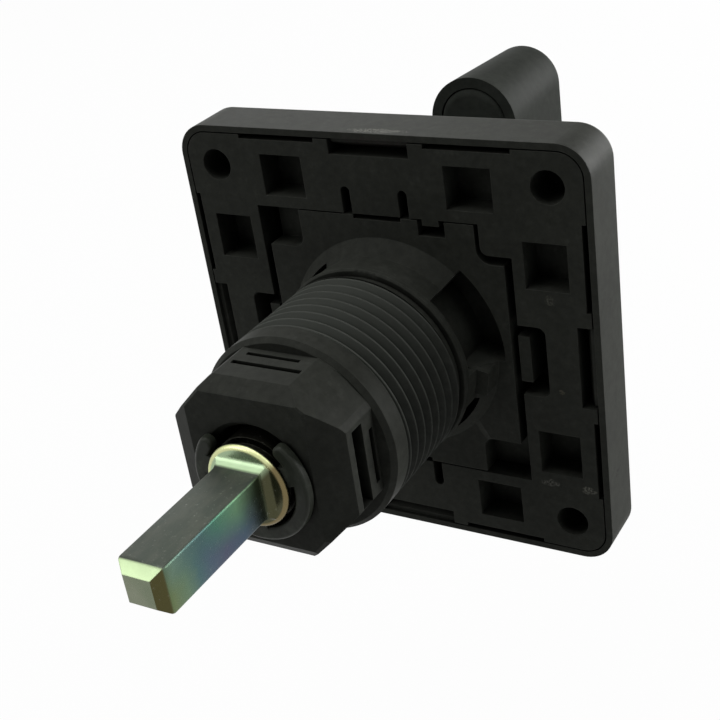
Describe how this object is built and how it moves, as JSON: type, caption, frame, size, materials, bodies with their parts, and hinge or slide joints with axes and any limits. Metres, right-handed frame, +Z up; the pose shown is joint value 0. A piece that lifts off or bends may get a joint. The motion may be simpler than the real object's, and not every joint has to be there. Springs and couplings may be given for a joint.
{
  "type": "rotary selector switch operating head",
  "caption": "panel-mounted selector switch head: square front, threaded neck, bar grip turning a square steel shaft out of the rear",
  "frame": {"origin": "on the turning axis, in the plane of the front's rear rim, which is the face that meets the panel", "axes": "+Y along the shaft to the rear of the panel, +Z up and along the grip at rest, +X to the left as seen from the rear"},
  "size_m": [0.048, 0.0851, 0.048],
  "materials": {
    "moulded_black": "black glass-filled nylon, fine moulded grain, satin",
    "grip_black": "black moulded grip plastic, smooth satin",
    "dial_metal": "blank natural anodised aluminium, fine brushed",
    "seal_rubber": "black nitrile rubber, matt",
    "inner_black": "dark grey acetal, machined satin",
    "bush_plastic": "natural acetal, satin",
    "spring_steel": "bare spring steel, satin",
    "passivated_steel": "zinc plated and iridescent yellow passivated steel",
    "clip_steel": "black phosphated spring steel, oiled",
    "screw_steel": "bright zinc plated steel",
    "indicator_white": "white inlaid plastic, semi-gloss"
  },
  "bodies": {
    "root": {"bezel_frame": "moulded_black", "dial_plate": "dial_metal", "lip_seal": "seal_rubber", "rear_frame": "moulded_black", "neck_body": "moulded_black", "stop_ring": "inner_black", "disc_spring": "spring_steel", "rear_bush": "bush_plastic", "thrust_washer": "spring_steel"},
    "rotor": {"drive_hub": "inner_black", "hub_o_ring": "seal_rubber", "square_shaft": "passivated_steel", "retaining_clip": "clip_steel", "grip_skirt": "grip_black", "grip_shell": "grip_black", "grip_core": "grip_black", "grip_indicator": "indicator_white", "grip_screw": "screw_steel", "screw_washer": "screw_steel", "screw_cap": "grip_black"}
  },
  "joints": [
    {"name": "grip_turn", "type": "hinge", "parent": "root", "child": "rotor", "pos_m": [0, 0, 0], "axis": [0, 1, 0], "range_deg": [-60, 60]}
  ]
}
